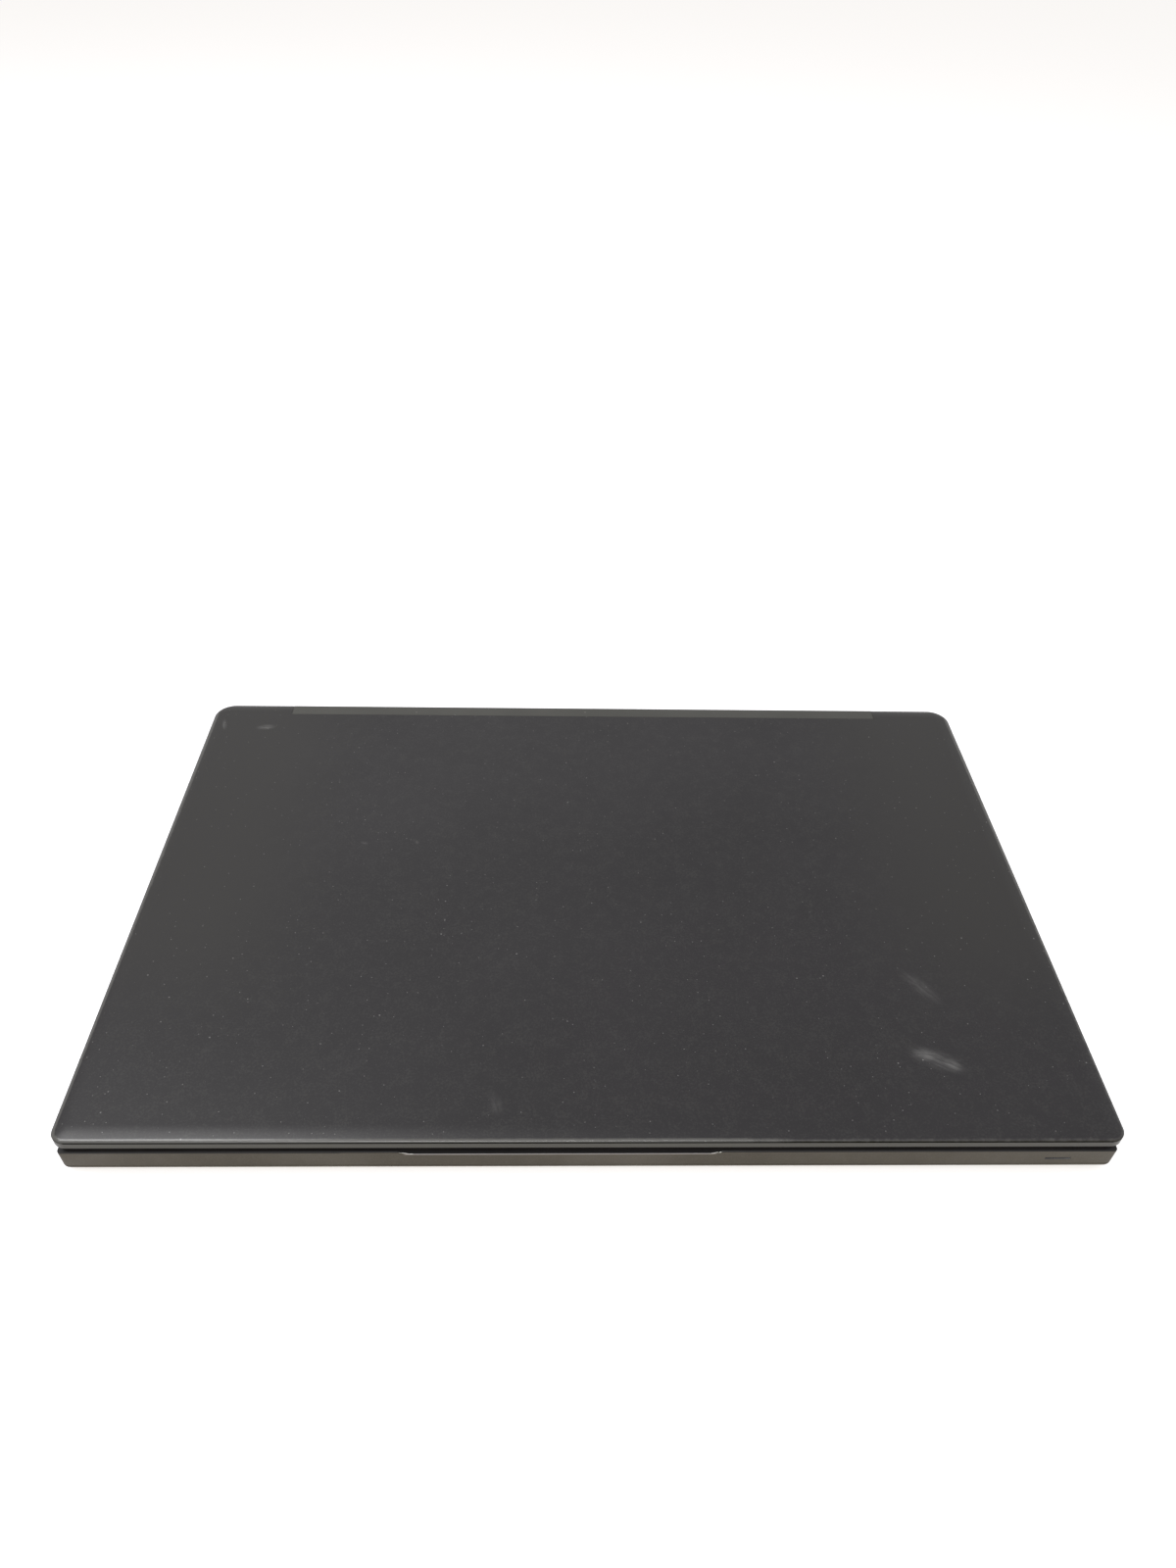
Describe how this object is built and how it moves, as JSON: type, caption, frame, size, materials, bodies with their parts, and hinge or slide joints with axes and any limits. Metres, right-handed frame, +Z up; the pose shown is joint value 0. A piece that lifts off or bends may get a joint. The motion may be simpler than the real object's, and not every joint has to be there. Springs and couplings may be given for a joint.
{
  "type": "laptop computer",
  "caption": "Thin business laptop, shut: dark lid on a rear hinge over a base with keyboard, touchpad, side sockets, cooling fan and rubber feet.",
  "frame": {"origin": "on the desk, under the middle of the shut laptop's outline", "axes": "+X to the user's right along the hinge, +Y from the user's edge back to the hinge, +Z up"},
  "size_m": [0.331, 0.221, 0.0189],
  "materials": {
    "lid_paint": "dark soft-touch paint with a fine grain",
    "hinge_satin": "dark satin paint",
    "case_paint": "light alloy casting with dark matte paint",
    "bezel_plastic": "fine matte texture",
    "screen": "anti-glare screen face, dark when off",
    "rubber": "matte rubber",
    "steel": "plain stamped steel",
    "socket_steel": "plated sheet steel",
    "black_plastic": "moulded plastic",
    "circuit_board": "solder mask over fibreglass",
    "chip": "polished silicon and carrier",
    "copper": "bare copper",
    "fins": "bare thin sheet",
    "battery_wrap": "film wrap",
    "membrane": "clear film with printed tracks",
    "touchpad": "fine matte film",
    "button_plastic": "smooth satin plastic",
    "light_window": "smoked window, dark while unlit",
    "lens": "polished dark window",
    "key_plastic": "matte key plastic"
  },
  "bodies": {
    "base": {"bottom_cover": "case_paint", "palmrest": "case_paint", "keyboard_lattice": "black_plastic", "keyboard_backplate": "steel", "key_membrane": "membrane", "key_domes": "rubber", "touchpad": "touchpad", "touchpad_bracket": "steel", "left_hinge_bracket": "steel", "right_hinge_bracket": "steel", "bracket_screws": "steel", "rubber_feet": "rubber", "cover_screws": "steel", "mainboard": "circuit_board", "processor": "chip", "heat_pipe": "copper", "fin_stack": "fins", "fan_housing": "black_plastic", "battery_pack": "battery_wrap", "memory_module": "circuit_board", "solid_state_drive": "circuit_board", "wireless_card": "circuit_board", "speakers": "black_plastic", "usb_a_ports": "socket_steel", "usb_c_port": "socket_steel", "video_port": "socket_steel", "power_inlet": "black_plastic", "headset_jack": "black_plastic", "lock_plate": "steel", "status_light": "light_window"},
    "lid": {"lid_back_cover": "lid_paint", "display_bezel": "bezel_plastic", "display_panel": "screen", "hinge_cover": "hinge_satin", "left_hinge_leaf": "steel", "right_hinge_leaf": "steel", "leaf_screws": "steel", "camera_board": "circuit_board", "camera_lens": "lens", "lid_bumpers": "rubber", "aerial_strips": "copper"},
    "fan": {"fan_rotor": "black_plastic"},
    "function_keys": {"function_keys": "key_plastic"},
    "number_keys": {"number_keys": "key_plastic"},
    "backspace_key": {"backspace_key": "key_plastic"},
    "tab_key": {"tab_key": "key_plastic"},
    "top_letter_keys": {"top_letter_keys": "key_plastic"},
    "caps_lock_key": {"caps_lock_key": "key_plastic"},
    "home_letter_keys": {"home_letter_keys": "key_plastic"},
    "enter_key": {"enter_key": "key_plastic"},
    "left_shift_key": {"left_shift_key": "key_plastic"},
    "bottom_letter_keys": {"bottom_letter_keys": "key_plastic"},
    "right_shift_key": {"right_shift_key": "key_plastic"},
    "modifier_keys": {"modifier_keys": "key_plastic"},
    "space_bar": {"space_bar": "key_plastic"},
    "arrow_keys": {"arrow_keys": "key_plastic"},
    "touchpad_left_button": {"touchpad_left_button": "button_plastic"},
    "touchpad_right_button": {"touchpad_right_button": "button_plastic"},
    "power_button": {"power_button": "button_plastic"}
  },
  "joints": [
    {"name": "lid_hinge", "type": "hinge", "parent": "base", "child": "lid", "pos_m": [0, 0.1043, 0.011], "axis": [-1, 0, 0], "range_deg": [0, 180]},
    {"name": "fan_spin", "type": "hinge", "parent": "base", "child": "fan", "pos_m": [-0.1253, 0.0428, 0.0045], "axis": [0, 0, 1], "continuous": true},
    {"name": "function_keys_press", "type": "slide", "parent": "base", "child": "function_keys", "axis": [0, 0, -1], "range_m": [0, 0.0012], "stiffness_N_per_m": 100, "springref_m": -0.004},
    {"name": "number_keys_press", "type": "slide", "parent": "base", "child": "number_keys", "axis": [0, 0, -1], "range_m": [0, 0.0012], "stiffness_N_per_m": 100, "springref_m": -0.004},
    {"name": "backspace_key_press", "type": "slide", "parent": "base", "child": "backspace_key", "axis": [0, 0, -1], "range_m": [0, 0.0012], "stiffness_N_per_m": 100, "springref_m": -0.004},
    {"name": "tab_key_press", "type": "slide", "parent": "base", "child": "tab_key", "axis": [0, 0, -1], "range_m": [0, 0.0012], "stiffness_N_per_m": 100, "springref_m": -0.004},
    {"name": "top_letter_keys_press", "type": "slide", "parent": "base", "child": "top_letter_keys", "axis": [0, 0, -1], "range_m": [0, 0.0012], "stiffness_N_per_m": 100, "springref_m": -0.004},
    {"name": "caps_lock_key_press", "type": "slide", "parent": "base", "child": "caps_lock_key", "axis": [0, 0, -1], "range_m": [0, 0.0012], "stiffness_N_per_m": 100, "springref_m": -0.004},
    {"name": "home_letter_keys_press", "type": "slide", "parent": "base", "child": "home_letter_keys", "axis": [0, 0, -1], "range_m": [0, 0.0012], "stiffness_N_per_m": 100, "springref_m": -0.004},
    {"name": "enter_key_press", "type": "slide", "parent": "base", "child": "enter_key", "axis": [0, 0, -1], "range_m": [0, 0.0012], "stiffness_N_per_m": 100, "springref_m": -0.004},
    {"name": "left_shift_key_press", "type": "slide", "parent": "base", "child": "left_shift_key", "axis": [0, 0, -1], "range_m": [0, 0.0012], "stiffness_N_per_m": 100, "springref_m": -0.004},
    {"name": "bottom_letter_keys_press", "type": "slide", "parent": "base", "child": "bottom_letter_keys", "axis": [0, 0, -1], "range_m": [0, 0.0012], "stiffness_N_per_m": 100, "springref_m": -0.004},
    {"name": "right_shift_key_press", "type": "slide", "parent": "base", "child": "right_shift_key", "axis": [0, 0, -1], "range_m": [0, 0.0012], "stiffness_N_per_m": 100, "springref_m": -0.004},
    {"name": "modifier_keys_press", "type": "slide", "parent": "base", "child": "modifier_keys", "axis": [0, 0, -1], "range_m": [0, 0.0012], "stiffness_N_per_m": 100, "springref_m": -0.004},
    {"name": "space_bar_press", "type": "slide", "parent": "base", "child": "space_bar", "axis": [0, 0, -1], "range_m": [0, 0.0012], "stiffness_N_per_m": 100, "springref_m": -0.004},
    {"name": "arrow_keys_press", "type": "slide", "parent": "base", "child": "arrow_keys", "axis": [0, 0, -1], "range_m": [0, 0.0012], "stiffness_N_per_m": 100, "springref_m": -0.004},
    {"name": "touchpad_left_button_press", "type": "slide", "parent": "base", "child": "touchpad_left_button", "axis": [0, 0, -1], "range_m": [0, 0.0006], "stiffness_N_per_m": 300, "springref_m": -0.002},
    {"name": "touchpad_right_button_press", "type": "slide", "parent": "base", "child": "touchpad_right_button", "axis": [0, 0, -1], "range_m": [0, 0.0006], "stiffness_N_per_m": 300, "springref_m": -0.002},
    {"name": "power_button_press", "type": "slide", "parent": "base", "child": "power_button", "axis": [0, 0, -1], "range_m": [0, 0.0005], "stiffness_N_per_m": 400, "springref_m": -0.002}
  ]
}
